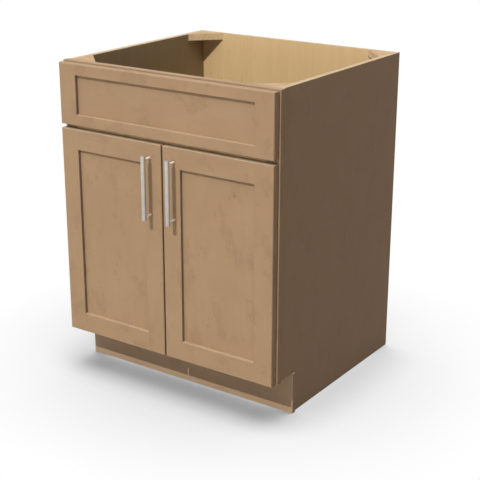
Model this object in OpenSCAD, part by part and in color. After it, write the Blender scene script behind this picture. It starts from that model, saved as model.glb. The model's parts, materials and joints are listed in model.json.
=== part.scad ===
// Face-frame sink base cabinet: open top, one fixed false drawer front and two hinged doors.
// Millimetres. X runs to the right, Y from the front to the back, Z up from the floor.

/* [Cabinet] */
// Width across the face frame
cabinet_w = 685.8; // [610:0.1:915]
// Height from the floor to the top edge
cabinet_h = 876.3; // [820:0.1:920]
// Depth from the face of the face frame to the back
cabinet_d = 609.6; // [500:0.1:650]

/* [Carcass] */
// Thickness of the side panels
side_t = 15.9; // [12:0.1:19]
// How far a side panel stands in from the edge of the face frame
side_inset = 5; // [2:0.1:8]
// Thickness of the cabinet floor
floor_t = 15.9; // [12:0.1:19]
// Thickness of the back panel
back_t = 12.7; // [12:0.1:18]
// Depth of the groove in a side panel that takes the floor
dado_depth = 6; // [3:0.1:8]
// Width of the rebate in a side panel that takes the back
rebate_w = 8; // [4:0.1:9]
// Play of the floor, the back and the tenons in their grooves
joint_play = 0.1; // [0.05:0.01:0.3]

/* [Toe kick] */
// Height of the toe space
toe_h = 114.3; // [90:0.1:130]
// Setback of the toe-kick board from the face of the face frame
toe_setback = 76.2; // [50:0.1:100]
// Thickness of the toe-kick board
toe_board_t = 12.7; // [9:0.1:18]
// Thickness of the battens under the floor
batten_t = 19; // [15:0.1:25]
// Height of the cleat behind the toe-kick board
cleat_h = 38.1; // [30:0.1:60]

/* [Face frame] */
// Thickness of the face frame
frame_t = 19.05; // [18:0.05:22]
// Width of the face-frame stiles
stile_w = 38.1; // [34:0.1:38.5]
// Height of the top rail
top_rail_h = 38.1; // [30:0.1:50]
// Height of the rail between the false front and the doors
middle_rail_h = 38.1; // [34:0.1:50]
// Height of the bottom rail
bottom_rail_h = 38.1; // [34:0.1:50]
// Length of the rail tenons
tenon_l = 12; // [8:0.1:16]
// Thickness of the rail tenons
tenon_t = 9.5; // [6:0.1:10]
// Shoulder above and below a rail tenon
tenon_shoulder = 5; // [3:0.1:8]

/* [Corner braces] */
// Length of the two square sides of a brace
brace_leg = 75; // [66:0.1:90]
// Thickness of a brace
brace_t = 19; // [16:0.1:22]
// Diameter of the worktop screw hole in a brace
brace_hole_d = 5; // [4:0.1:7]
// Distance of the worktop screw hole from the two walls
brace_hole_inset = 24; // [20:0.1:26]
// Distance of a brace's first screw from the side panel
brace_screw_near = 34; // [30:0.1:38]
// Distance of a brace's second screw from the side panel
brace_screw_far = 52; // [46:0.1:56]
// Wood left under the head of a brace screw
brace_screw_grip = 9; // [7:0.1:9.5]
// Depth of a brace screw in the brace
brace_screw_bite = 14; // [10:0.1:18]

/* [Fronts] */
// Thickness of the false front and the doors
front_t = 19.05; // [18:0.05:22]
// Gap between the face frame and the back of the fronts
front_gap = 3.75; // [3.4:0.05:5]
// Face frame left showing beside the fronts
side_reveal = 3.4; // [3:0.1:5]
// Face frame left showing above the false front
top_reveal = 3.2; // [1:0.1:10]
// Height of the false front
false_front_h = 165.1; // [140:0.1:200]
// Space between the false front and the doors
front_spacing = 11; // [3:0.1:12]
// How far the doors reach below the face frame
door_drop = 0.3; // [0:0.1:6]
// Space between the two doors
door_spacing = 4.2; // [2:0.1:6]
// Width of the stiles of the fronts
front_stile_w = 56; // [55:0.1:75]
// Height of the door rails
door_rail_w = 55.2; // [45:0.1:75]
// Height of the rails of the false front
false_rail_w = 30; // [25:0.1:45]
// Depth of the panel's face behind the front
panel_recess = 9; // [6:0.1:10.5]
// Thickness of the flat panels
panel_t = 6; // [5:0.1:6.4]
// Depth of the grooves that hold the panels
groove_depth = 9.5; // [6:0.1:11]
// Room left for a panel to move at the bottom of its groove
panel_play = 1; // [0.5:0.1:2]
// Eased edges of the fronts
edge_ease = 1.5; // [0.4:0.1:2]

/* [Pulls] */
// Diameter of the pull bar
pull_bar_d = 12; // [9:0.1:14]
// Length of the pull bar
pull_l = 172; // [168:0.1:220]
// Distance between the posts
pull_centres = 152.4; // [96:0.1:154]
// Distance of the bar's axis from the door
pull_standoff = 28; // [20:0.1:40]
// Diameter of the posts
post_d = 6; // [5.5:0.1:8]
// Depth of a post's seat in the bar
post_seat = 3; // [1:0.1:4]
// Distance of the pull from the free edge of its door
pull_edge = 36.5; // [15:0.1:40]
// Distance of the upper post from the top of the door
pull_top = 38; // [25:0.1:100]
// Chamfer at the ends of the bar
pull_chamfer = 0.8; // [0.3:0.1:1.5]

/* [Hinges] */
// Distance of the hinges from the ends of the doors
hinge_end = 76; // [66:0.1:120]
// Diameter of the hinge cup's bore
cup_d = 35; // [34.6:0.1:36]
// Depth of the hinge cup's bore
cup_depth = 13.5; // [13:0.1:14]
// Wood left between the cup's bore and the edge of the door
cup_edge = 4; // [3.5:0.1:4.5]
// Diameter of the hinge pin
pin_d = 2.8; // [2:0.1:3]
// Length of the hinge pin
pin_l = 19; // [14:0.1:20]
// Running clearance of the hinge arm on the pin
pin_clearance = 0.05; // [0.02:0.01:0.1]
// Width of the hinge arm
arm_w = 8; // [6:0.1:9]
// Thickness of the hinge arm
arm_t = 1.5; // [1.2:0.1:1.6]
// Height of the hinge arm's base on the face frame
base_h = 48; // [40:0.1:60]
// Distance between the screws of the base
base_centres = 34; // [28:0.1:36]
// Height of the cup's flange
flange_h = 58; // [56:0.1:64]
// Distance between the cup's screws
flange_centres = 45; // [42:0.1:48]

/* [Fasteners] */
// Diameter of the wood screws
screw_d = 3.5; // [3:0.1:4]
// Diameter of the wood screws' heads
screw_head_d = 7; // [6:0.1:7.5]
// Height of the wood screws' heads
screw_head_h = 2.2; // [1.5:0.1:2.5]
// Depth of a screw in the piece it holds to
screw_bite = 9; // [7:0.1:9.5]
// Diameter of the pull screws
pull_screw_d = 4; // [3.5:0.1:4.2]
// Depth of a pull screw in its post
pull_screw_bite = 10; // [6:0.1:14]
// Thickness of the sheet of the false front's brackets
bracket_t = 2; // [1.5:0.1:2.5]
// Width of a bracket's two legs
bracket_leg = 20; // [18:0.1:21]
// Height of a bracket
bracket_h = 60; // [50:0.1:80]
// Distance between the screws of a bracket's leg
bracket_centres = 36; // [30:0.1:40]
// Diameter of the bumpers
bumper_d = 9.5; // [8:0.1:11]
// Distance of a bumper from the edges of the fronts
bumper_inset = 12; // [10:0.1:14]

/* [Hidden] */
$fn = 64;

// Colours
stain = [0.67, 0.55, 0.42];
birch = [0.80, 0.67, 0.48];
pine = [0.84, 0.72, 0.53];
nickel = [0.74, 0.74, 0.72];
steel = [0.62, 0.63, 0.65];
rubber = [0.88, 0.88, 0.86];

// Overlap of a cut past the face that it opens
cut = 1;

// Carcass
half_w = cabinet_w / 2;
side_out = half_w - side_inset;
side_in = side_out - side_t;
back_face = cabinet_d - back_t;
floor_top = toe_h + bottom_rail_h;
floor_under = floor_top - floor_t;
notch_d = toe_setback + toe_board_t;

// Face frame
frame_h = cabinet_h - toe_h;
opening_half = half_w - stile_w;
top_rail_z = cabinet_h - top_rail_h;
doors_top = cabinet_h - top_reveal - false_front_h - front_spacing;
middle_rail_z = doors_top + front_spacing / 2 - middle_rail_h / 2;
rail_places = [[toe_h, bottom_rail_h], [middle_rail_z, middle_rail_h], [top_rail_z, top_rail_h]];
false_opening_z = (middle_rail_z + middle_rail_h + top_rail_z) / 2;

// Fronts
front_back = -front_gap;
front_face = front_back - front_t;
front_half = half_w - side_reveal;
false_front_z = cabinet_h - top_reveal - false_front_h;
door_w = front_half - door_spacing / 2;
doors_bottom = toe_h - door_drop;
door_h = doors_top - doors_bottom;
groove_back = front_t - panel_recess - panel_t - joint_play;

// Hinges: the cup in the door, its flange, the pocket that the arm swings in, and the pin
cup_r = cup_d / 2;
cup_centre = cup_edge + cup_r;
cup_fit = 0.1;
cup_floor = 0.7;
cup_wall = 0.9;
flange_t = 1.2;
flange_r = cup_r + 1.5;
ear_w = 14;
ear_r = 5;
ear_x = cup_centre + 9.5;
hub_r = pin_d / 2 + 0.9;
hub_play = 0.4;
arm_side_play = 0.6;
arm_gap = 0.3;
pocket_w = arm_w + 2 * arm_side_play;
pocket_half = sqrt(pow(cup_r - cup_fit - cup_wall, 2) - pow(pocket_w / 2, 2));
pivot_edge = cup_centre - pocket_half + hub_r + hub_play;
pivot_depth = cup_depth - cup_fit - cup_floor - hub_r - hub_play;
pivot_y = front_back - pivot_depth;
arm_y = pivot_y - hub_r + arm_t / 2 + 0.35;
base_side = stile_w - side_reveal;
neck_near = base_side + arm_gap;
neck_far = neck_near + arm_t;
base_margin = 1;
hinge_places = [doors_bottom + hinge_end, doors_top - hinge_end];

// Screws
screw_play = 0.05;
screw_hole_r = screw_d / 2 + screw_play;
pull_hole_r = pull_screw_d / 2 + screw_play;
brace_screw_z = cabinet_h - brace_t / 2;
screw_tip = 3;
pull_screw_head_d = 8;
pull_screw_head_h = 2.4;
cup_screw_bite = 9;

// Brackets: where the screws of the two legs stand
bracket_front_x = opening_half - bracket_t - screw_head_d / 2 - 1;
bracket_frame_y = front_back + bracket_leg * 0.65;

// Pulls
pull_x = door_spacing / 2 + pull_edge;
pull_upper_z = doors_top - pull_top;
pull_z = pull_upper_z - pull_centres / 2;
pull_axis_y = front_face - pull_standoff;
post_end_y = pull_axis_y + pull_bar_d / 2 - post_seat;

// The origin stands on the floor in the middle of the whole cabinet, pulls included
origin_y = (cabinet_d + pull_axis_y - pull_bar_d / 2) / 2;

// Places every piece about the origin
module placed() {
    translate([0, -origin_y, 0]) children();
}

// The left-hand pieces mirror the right-hand ones
module on_side(side) {
    if (side < 0) mirror([1, 0, 0]) children();
    else children();
}

// A box from one corner to the opposite one
module block(low, high) {
    translate(low) cube(high - low);
}

// A bolt hole or a round bar from a point along an axis: 0 is X, 1 is Y and 2 is Z
module rod(point, axis, length, radius) {
    turn = axis == 0 ? [0, 90, 0] : axis == 1 ? [-90, 0, 0] : [0, 0, 0];
    translate(point) rotate(turn) cylinder(h = length, r = radius);
}

// A pan-head wood screw: its head stands below Z = 0 and its shank runs up to a point
module wood_screw(length, shank_d, head_d, head_h) {
    rotate_extrude()
        polygon([
            [0, -head_h], [head_d * 0.3, -head_h], [head_d / 2, -head_h * 0.45], [head_d / 2, 0],
            [shank_d / 2, 0], [shank_d / 2, length - screw_tip], [0, length]
        ]);
}

// Side panel of the right side, with the toe notch, the groove for the floor and the rebate for the back
module side_panel() {
    color(stain)
        difference() {
            block([side_in, frame_t, 0], [side_out, cabinet_d, cabinet_h]);
            block([side_in - cut, frame_t - cut, -cut], [side_out + cut, notch_d, toe_h]);
            block(
                [side_in - cut, frame_t - cut, floor_under],
                [side_in + dado_depth, back_face + cut, floor_top]
            );
            block([side_in - cut, back_face, -cut], [side_in + rebate_w, cabinet_d + cut, cabinet_h + cut]);
        }
}

// Cabinet floor, let into the side panels
module floor_panel() {
    reach = side_in + dado_depth - joint_play;
    color(birch) block([-reach, frame_t, floor_under], [reach, back_face, floor_top]);
}

// Back panel, let into the rebates of the side panels
module back_panel() {
    reach = side_in + rebate_w - joint_play;
    color(birch)
        difference() {
            block([-reach, back_face, 0], [reach, cabinet_d, cabinet_h]);
            for (side = [-1, 1]) on_side(side) brace_place(true) brace_screw_holes();
        }
}

// Toe-kick board, laid over the front edges of the side panels
module toe_kick_board() {
    color(stain) block([-half_w, toe_setback, 0], [half_w, notch_d, toe_h]);
}

// Cleat behind the toe-kick board, under the floor
module toe_kick_cleat() {
    color(pine)
        block([-side_in, notch_d, floor_under - cleat_h], [side_in, notch_d + batten_t, floor_under]);
}

// Batten behind the bottom rail, under the front edge of the floor
module floor_batten() {
    color(pine) block([-side_in, frame_t, toe_h], [side_in, frame_t + batten_t, floor_under]);
}

// Face-frame stile of the right side, with a mortise for each rail and the pilot holes of the hinges
module frame_stile() {
    color(stain)
        difference() {
            block([opening_half, 0, toe_h], [half_w, frame_t, cabinet_h]);
            for (place = rail_places) rail_mortise(place[0], place[1]);
            base_screw_holes(screw_hole_r);
            bracket_frame_holes();
        }
}

// Mortise for a rail that starts at height z
module rail_mortise(z, height) {
    side = (frame_t - tenon_t - joint_play) / 2;
    block(
        [opening_half - cut, side, z + tenon_shoulder - joint_play / 2],
        [opening_half + tenon_l + joint_play, frame_t - side, z + height - tenon_shoulder + joint_play / 2]
    );
}

// Face-frame rail with its two tenons
module frame_rail(place) {
    side = (frame_t - tenon_t) / 2;
    z = place[0];
    top = place[0] + place[1];
    reach = opening_half + tenon_l;
    color(stain)
        difference() {
            union() {
                block([-opening_half, 0, z], [opening_half, frame_t, top]);
                block([-reach, side, z + tenon_shoulder], [reach, frame_t - side, top - tenon_shoulder]);
            }
            for (side_x = [-1, 1]) on_side(side_x) brace_place(false) brace_screw_holes();
        }
}

// Places a brace shape, drawn in a corner at the origin, in the right-hand corner at the front or the back
module brace_place(at_back) {
    if (at_back) translate([side_in, back_face, 0]) mirror([1, 0, 0]) mirror([0, 1, 0]) children();
    else translate([side_in, frame_t, 0]) mirror([1, 0, 0]) children();
}

// Distances of a brace's two screws from the side panel
function brace_screw_offsets() = [brace_screw_near, brace_screw_far];

// The two screws of a brace, driven through the top rail or the back panel
module brace_screw_pair() {
    for (x = brace_screw_offsets())
        translate([x, -brace_screw_grip, brace_screw_z]) rotate([-90, 0, 0])
            wood_screw(brace_screw_grip + brace_screw_bite, screw_d, screw_head_d, screw_head_h);
}

// Pilot holes of the two screws, with the counterbores for their heads
module brace_screw_holes() {
    length = brace_screw_bite + frame_t + back_t;
    for (x = brace_screw_offsets()) {
        rod([x, brace_screw_bite - length, brace_screw_z], 1, length, screw_hole_r);
        rod([x, -brace_screw_grip - frame_t, brace_screw_z], 1, frame_t, screw_head_d / 2 + screw_play);
    }
}

// Triangular corner brace of the right side, with a hole for the worktop screw
module corner_brace(at_back) {
    color(pine)
        brace_place(at_back)
            difference() {
                translate([0, 0, cabinet_h - brace_t])
                    linear_extrude(height = brace_t) polygon([[0, 0], [brace_leg, 0], [0, brace_leg]]);
                translate([brace_hole_inset, brace_hole_inset, cabinet_h - brace_t - cut])
                    cylinder(h = brace_t + 2 * cut, d = brace_hole_d);
                brace_screw_holes();
            }
}

module brace_screws() {
    color(steel)
        for (side = [-1, 1], at_back = [false, true])
            on_side(side) brace_place(at_back) brace_screw_pair();
}

// Section of a stile or rail of a front: from the outer edge to the groove and from the back to the face
function front_section(width) = [
    [0, 0], [width, 0],
    [width, -groove_back], [width - groove_depth, -groove_back],
    [width - groove_depth, -groove_back - panel_t - joint_play],
    [width, -groove_back - panel_t - joint_play],
    [width, edge_ease / 2 - front_t], [width - edge_ease / 2, -front_t],
    [edge_ease, -front_t], [0, edge_ease - front_t]
];

// Upright member of a front, with its outer edge at X = 0 and its back at Y = 0
module front_stile(height) {
    linear_extrude(height = height) polygon(front_section(front_stile_w));
}

// Level member of a front between two stiles, with its outer edge at Z = 0, and its two tongues
module front_rail(length, height) {
    tongue = groove_depth - panel_play;
    rotate([90, 0, 90]) linear_extrude(height = length)
        polygon([for (p = front_section(height)) [p[1], p[0]]]);
    block(
        [-tongue, -groove_back - panel_t - joint_play / 2, 0],
        [length + tongue, -groove_back - joint_play / 2, height - groove_depth]
    );
}

// Flat panel between grooves whose edges are width by height apart
module front_panel(width, height) {
    tongue = groove_depth - panel_play;
    block(
        [-tongue, -groove_back - panel_t - joint_play, -tongue],
        [width + tongue, -groove_back - joint_play, height + tongue]
    );
}

// Stile of the false front on the right side
module false_front_stile() {
    color(stain)
        difference() {
            translate([front_half, front_back, false_front_z]) mirror([1, 0, 0]) front_stile(false_front_h);
            bracket_front_holes();
        }
}

module false_front_rail(at_top) {
    shoulder = front_half - front_stile_w;
    color(stain)
        translate([-shoulder, front_back, at_top ? false_front_z + false_front_h : false_front_z])
            mirror([0, 0, at_top ? 1 : 0]) front_rail(2 * shoulder, false_rail_w);
}

module false_front_panel() {
    shoulder = front_half - front_stile_w;
    color(stain)
        translate([-shoulder, front_back, false_front_z + false_rail_w])
            front_panel(2 * shoulder, false_front_h - 2 * false_rail_w);
}

// Angle bracket of the right side, between the face frame's stile and the back of the false front
module front_bracket() {
    z = false_opening_z - bracket_h / 2;
    color(steel)
        difference() {
            union() {
                block(
                    [opening_half - bracket_leg, front_back, z],
                    [opening_half, front_back + bracket_t, z + bracket_h]
                );
                block(
                    [opening_half - bracket_t, front_back, z],
                    [opening_half, front_back + bracket_leg, z + bracket_h]
                );
            }
            bracket_front_holes();
            bracket_frame_holes();
        }
}

// Heights of a bracket's two screws
function bracket_screw_heights() = [for (i = [-1, 1]) false_opening_z + i * bracket_centres / 2];

// Holes of the bracket screws that run into the false front
module bracket_front_holes() {
    length = screw_bite + bracket_t + cut;
    for (z = bracket_screw_heights())
        rod([bracket_front_x, front_back - screw_bite, z], 1, length, screw_hole_r);
}

// Holes of the bracket screws that run into the face frame
module bracket_frame_holes() {
    length = screw_bite + bracket_t + cut;
    for (z = bracket_screw_heights())
        rod([opening_half - bracket_t - cut, bracket_frame_y, z], 0, length, screw_hole_r);
}

module bracket_screws() {
    length = bracket_t + screw_bite;
    color(steel)
        for (side = [-1, 1], z = bracket_screw_heights())
            on_side(side) {
                translate([bracket_front_x, front_back + bracket_t, z]) rotate([90, 0, 0])
                    wood_screw(length, screw_d, screw_head_d, screw_head_h);
                translate([opening_half - bracket_t, bracket_frame_y, z]) rotate([0, 90, 0])
                    wood_screw(length, screw_d, screw_head_d, screw_head_h);
            }
}

// Bumpers between the false front and the face frame
module false_front_bumpers() {
    color(rubber)
        for (side = [-1, 1], z = [bumper_inset, false_front_h - bumper_inset])
            translate([side * (front_half - bumper_inset), front_back, false_front_z + z]) rotate([-90, 0, 0])
                cylinder(h = front_gap, d = bumper_d);
}

// Places a hinge shape of the right door: X runs inwards from the edge of the door, Y from the face frame
module hinge_place(z) {
    translate([front_half, 0, z]) mirror([1, 0, 0]) children();
}

// Hinge arm: a hub on the pin, a strip out of the cup and a base on the inner edge of the face-frame stile
module hinge_arm(z) {
    low = arm_y - arm_t / 2;
    high = arm_y + arm_t / 2;
    half = arm_w / 2;
    color(steel)
        hinge_place(z)
            difference() {
                union() {
                    rod([pivot_edge, pivot_y, -half], 2, arm_w, hub_r);
                    block([pivot_edge, low, -half], [neck_far, high, half]);
                    block([neck_near, low, -half], [neck_far, base_margin + arm_t, half]);
                    block(
                        [base_side, base_margin, -base_h / 2],
                        [neck_far, frame_t - base_margin, base_h / 2]
                    );
                }
                rod([pivot_edge, pivot_y, -arm_w], 2, 2 * arm_w, pin_d / 2 + pin_clearance);
                for (z = [-base_centres / 2, base_centres / 2])
                    rod([base_side - cut, frame_t / 2, z], 0, arm_t + 3 * cut, screw_hole_r);
            }
}

// Pilot holes of the hinge arms' screws in the right stile
module base_screw_holes(radius) {
    for (place = hinge_places, i = [-1, 1])
        hinge_place(place + i * base_centres / 2)
            rod([base_side - screw_bite, frame_t / 2, 0], 0, screw_bite + cut, radius);
}

module hinge_arm_screws() {
    color(steel)
        for (side = [-1, 1], place = hinge_places, i = [-1, 1])
            on_side(side) hinge_place(place + i * base_centres / 2)
                translate([neck_far, frame_t / 2, 0]) rotate([0, -90, 0])
                    wood_screw(screw_bite + neck_far - base_side, screw_d, screw_head_d, screw_head_h);
}

// Hinge cup in the back of the door, with the pocket that the arm swings in
module hinge_cup(z) {
    body_r = cup_r - cup_fit;
    color(steel)
        hinge_place(z)
            difference() {
                union() {
                    rod([cup_centre, front_back - cup_depth + cup_fit, 0], 1, cup_depth - cup_fit, body_r);
                    rod([cup_centre, front_back, 0], 1, flange_t, flange_r);
                    flange_ears();
                }
                block(
                    [cup_centre - pocket_half, front_back - cup_depth + cup_fit + cup_floor, -pocket_w / 2],
                    [cup_centre + pocket_half, front_back + flange_t + cut, pocket_w / 2]
                );
                rod([pivot_edge, pivot_y, -pin_l / 2], 2, pin_l, pin_d / 2);
                for (z = [-flange_centres / 2, flange_centres / 2])
                    rod([ear_x, front_back - cut, z], 1, flange_t + 2 * cut, screw_hole_r);
            }
}

// The two ears of the cup's flange, with round corners
module flange_ears() {
    side = ear_w / 2;
    reach = flange_h / 2;
    top = front_back + flange_t;
    block([ear_x - side, front_back, -reach + ear_r], [ear_x + side, top, reach - ear_r]);
    block([ear_x - side + ear_r, front_back, -reach], [ear_x + side - ear_r, top, reach]);
    for (i = [-1, 1], j = [-1, 1])
        rod([ear_x + i * (side - ear_r), front_back, j * (reach - ear_r)], 1, flange_t, ear_r);
}

// Bores in the right door's hinge stile: the cups and their screws
module cup_bores() {
    for (place = hinge_places)
        hinge_place(place) {
            rod([cup_centre, front_back - cup_depth, 0], 1, cup_depth + cut, cup_r);
            for (z = [-flange_centres / 2, flange_centres / 2])
                rod([ear_x, front_back - cup_screw_bite, z], 1, cup_screw_bite + cut, screw_hole_r);
        }
}

module cup_screws() {
    color(steel)
        for (place = hinge_places, i = [-1, 1])
            hinge_place(place)
                translate([ear_x, front_back + flange_t, i * flange_centres / 2]) rotate([90, 0, 0])
                    wood_screw(flange_t + cup_screw_bite, screw_d, screw_head_d, flange_t);
}

module hinge_pins() {
    color(steel)
        for (place = hinge_places)
            hinge_place(place) rod([pivot_edge, pivot_y, -pin_l / 2], 2, pin_l, pin_d / 2);
}

// Hinge stile of the right door
module door_hinge_stile() {
    color(stain)
        difference() {
            translate([front_half, front_back, doors_bottom]) mirror([1, 0, 0]) front_stile(door_h);
            cup_bores();
        }
}

// Meeting stile of the right door, with the holes of the pull
module door_meeting_stile() {
    color(stain)
        difference() {
            translate([door_spacing / 2, front_back, doors_bottom]) front_stile(door_h);
            for (z = [pull_upper_z, pull_upper_z - pull_centres])
                rod([pull_x, front_face - cut, z], 1, front_t + 2 * cut, pull_hole_r);
        }
}

module door_rail(at_top) {
    color(stain)
        translate([door_spacing / 2 + front_stile_w, front_back, at_top ? doors_top : doors_bottom])
            mirror([0, 0, at_top ? 1 : 0]) front_rail(door_w - 2 * front_stile_w, door_rail_w);
}

module door_panel() {
    color(stain)
        translate([door_spacing / 2 + front_stile_w, front_back, doors_bottom + door_rail_w])
            front_panel(door_w - 2 * front_stile_w, door_h - 2 * door_rail_w);
}

// Bar of the right door's pull, with chamfered ends and a seat for each post
module pull_bar() {
    r = pull_bar_d / 2;
    color(nickel)
        difference() {
            translate([pull_x, pull_axis_y, pull_z - pull_l / 2]) rotate_extrude()
                polygon([
                    [0, 0], [r - pull_chamfer, 0], [r, pull_chamfer],
                    [r, pull_l - pull_chamfer], [r - pull_chamfer, pull_l], [0, pull_l]
                ]);
            for (z = [pull_upper_z, pull_upper_z - pull_centres])
                rod([pull_x, post_end_y, z], 1, r + post_seat, post_d / 2);
        }
}

// Posts of the right door's pull, threaded for the screws
module pull_posts() {
    color(nickel)
        for (z = [pull_upper_z, pull_upper_z - pull_centres])
            difference() {
                rod([pull_x, post_end_y, z], 1, front_face - post_end_y, post_d / 2);
                rod([pull_x, front_face - pull_screw_bite, z], 1, pull_screw_bite + cut, pull_hole_r);
            }
}

module pull_screws() {
    color(steel)
        for (z = [pull_upper_z, pull_upper_z - pull_centres])
            translate([pull_x, front_back, z]) rotate([90, 0, 0])
                wood_screw(front_t + pull_screw_bite, pull_screw_d, pull_screw_head_d, pull_screw_head_h);
}

// Bumpers on the back of the right door, which stop it just off the face frame
module door_bumpers() {
    places = [toe_h + bumper_inset, middle_rail_z + (doors_top - middle_rail_z) / 2];
    color(rubber)
        for (z = places)
            rod([door_spacing / 2 + bumper_inset, front_back, z], 1, front_gap - arm_gap, bumper_d / 2);
}

// Carcass
placed() on_side(-1) side_panel();  // left_side_panel
placed() on_side(1) side_panel();  // right_side_panel
placed() floor_panel();
placed() back_panel();
placed() toe_kick_board();
placed() toe_kick_cleat();
placed() floor_batten();

// Face frame
placed() on_side(-1) frame_stile();  // left_frame_stile
placed() on_side(1) frame_stile();  // right_frame_stile
placed() frame_rail(rail_places[2]);  // top_frame_rail
placed() frame_rail(rail_places[1]);  // middle_frame_rail
placed() frame_rail(rail_places[0]);  // bottom_frame_rail

// Corner braces
placed() on_side(-1) corner_brace(false);  // front_left_brace
placed() on_side(1) corner_brace(false);  // front_right_brace
placed() on_side(-1) corner_brace(true);  // back_left_brace
placed() on_side(1) corner_brace(true);  // back_right_brace
placed() brace_screws();

// False drawer front
placed() on_side(-1) false_front_stile();  // false_front_left_stile
placed() on_side(1) false_front_stile();  // false_front_right_stile
placed() false_front_rail(true);  // false_front_top_rail
placed() false_front_rail(false);  // false_front_bottom_rail
placed() false_front_panel();
placed() on_side(-1) front_bracket();  // left_front_bracket
placed() on_side(1) front_bracket();  // right_front_bracket
placed() bracket_screws();
placed() false_front_bumpers();

// Hinge arms on the face frame
placed() on_side(-1) hinge_arm(hinge_places[1]);  // left_upper_hinge_arm
placed() on_side(-1) hinge_arm(hinge_places[0]);  // left_lower_hinge_arm
placed() on_side(1) hinge_arm(hinge_places[1]);  // right_upper_hinge_arm
placed() on_side(1) hinge_arm(hinge_places[0]);  // right_lower_hinge_arm
placed() hinge_arm_screws();

// Left door
placed() on_side(-1) door_hinge_stile();  // left_door_hinge_stile
placed() on_side(-1) door_meeting_stile();  // left_door_meeting_stile
placed() on_side(-1) door_rail(true);  // left_door_top_rail
placed() on_side(-1) door_rail(false);  // left_door_bottom_rail
placed() on_side(-1) door_panel();  // left_door_panel
placed() on_side(-1) pull_bar();  // left_pull_bar
placed() on_side(-1) pull_posts();  // left_pull_posts
placed() on_side(-1) pull_screws();  // left_pull_screws
placed() on_side(-1) hinge_cup(hinge_places[1]);  // left_upper_hinge_cup
placed() on_side(-1) hinge_cup(hinge_places[0]);  // left_lower_hinge_cup
placed() on_side(-1) hinge_pins();  // left_hinge_pins
placed() on_side(-1) cup_screws();  // left_cup_screws
placed() on_side(-1) door_bumpers();  // left_door_bumpers

// Right door
placed() on_side(1) door_hinge_stile();  // right_door_hinge_stile
placed() on_side(1) door_meeting_stile();  // right_door_meeting_stile
placed() on_side(1) door_rail(true);  // right_door_top_rail
placed() on_side(1) door_rail(false);  // right_door_bottom_rail
placed() on_side(1) door_panel();  // right_door_panel
placed() on_side(1) pull_bar();  // right_pull_bar
placed() on_side(1) pull_posts();  // right_pull_posts
placed() on_side(1) pull_screws();  // right_pull_screws
placed() on_side(1) hinge_cup(hinge_places[1]);  // right_upper_hinge_cup
placed() on_side(1) hinge_cup(hinge_places[0]);  // right_lower_hinge_cup
placed() on_side(1) hinge_pins();  // right_hinge_pins
placed() on_side(1) cup_screws();  // right_cup_screws
placed() on_side(1) door_bumpers();  // right_door_bumpers
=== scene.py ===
"""Looks of the sink base cabinet: stained frame and fronts, natural birch inside, nickel pulls.

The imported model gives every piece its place. Each piece here stands for one node of it, in metres,
with softened edges and a procedural finish.
"""

import json
import logging
import math
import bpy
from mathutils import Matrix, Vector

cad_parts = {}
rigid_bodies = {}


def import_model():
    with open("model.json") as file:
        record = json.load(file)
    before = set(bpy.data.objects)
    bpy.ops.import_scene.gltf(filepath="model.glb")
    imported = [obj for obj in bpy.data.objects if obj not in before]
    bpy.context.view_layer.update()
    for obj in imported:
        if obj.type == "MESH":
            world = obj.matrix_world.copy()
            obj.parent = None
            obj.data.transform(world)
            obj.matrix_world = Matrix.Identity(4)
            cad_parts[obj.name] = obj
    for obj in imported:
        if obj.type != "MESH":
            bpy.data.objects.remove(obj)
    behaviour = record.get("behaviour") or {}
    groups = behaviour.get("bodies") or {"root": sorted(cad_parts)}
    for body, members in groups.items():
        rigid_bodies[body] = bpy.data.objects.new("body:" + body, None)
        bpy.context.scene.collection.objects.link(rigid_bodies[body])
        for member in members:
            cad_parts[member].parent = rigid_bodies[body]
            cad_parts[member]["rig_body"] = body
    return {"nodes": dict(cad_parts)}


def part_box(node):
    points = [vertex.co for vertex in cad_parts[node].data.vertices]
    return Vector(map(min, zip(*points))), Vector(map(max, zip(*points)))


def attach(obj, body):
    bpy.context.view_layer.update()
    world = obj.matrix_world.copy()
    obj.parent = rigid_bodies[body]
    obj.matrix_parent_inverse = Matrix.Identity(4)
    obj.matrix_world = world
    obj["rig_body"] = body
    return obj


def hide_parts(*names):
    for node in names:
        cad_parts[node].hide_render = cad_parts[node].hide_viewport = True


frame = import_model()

import zlib
from dataclasses import dataclass
from enum import Enum
from functools import partial
from typing import Any, Callable, ClassVar, Iterable, Protocol

import bmesh
import bpy
from mathutils import Matrix, Vector

LOG = logging.getLogger("sink_base_cabinet")

# Attribute that holds each board's own place in the wood's figure, and its steps in each metre.
SHIFT = "board_shift"
SHIFT_STEPS = 40
# Angle between two faces: under FLAT they are one plane and under CURVED one curve, and over STEEP
# their edge is eased.
FLAT = math.radians(0.5)
CURVED = math.radians(30)
STEEP = math.radians(40)
# Share of a normal along an axis over which a face looks that way. LEANING lets in more than a
# 45-degree chamfer, FACING just lets one in, and SQUARE keeps it out.
LEANING = 0.6
FACING = 0.7
SQUARE = 0.75
# Distances in metres: under WELD two points are one, under TOUCH a point lies in a plane, and a cut
# takes what is under CUT_TOUCH as cut already.
WELD = 2e-6
TOUCH = 1e-5
CUT_TOUCH = 1e-7
# Share that is left at the reach of something that fades.
FADED = math.exp(-1.0)

Span = tuple[float, float]
Triple = tuple[float, float, float]
Colour = tuple[float, float, float, float]
BLACK: Colour = (0.0, 0.0, 0.0, 1.0)
WHITE: Colour = (1.0, 1.0, 1.0, 1.0)


class Grain(Enum):
    """Direction that the fibres of a board run in, as an index of the axis."""

    ACROSS = 0
    DEEP = 1
    UPRIGHT = 2


class Side(Enum):
    """Half of the cabinet, seen from the front."""

    LEFT = -1
    RIGHT = 1

    @property
    def word(self) -> str:
        """Name that the nodes of this half start with."""
        return self.name.lower()


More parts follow.
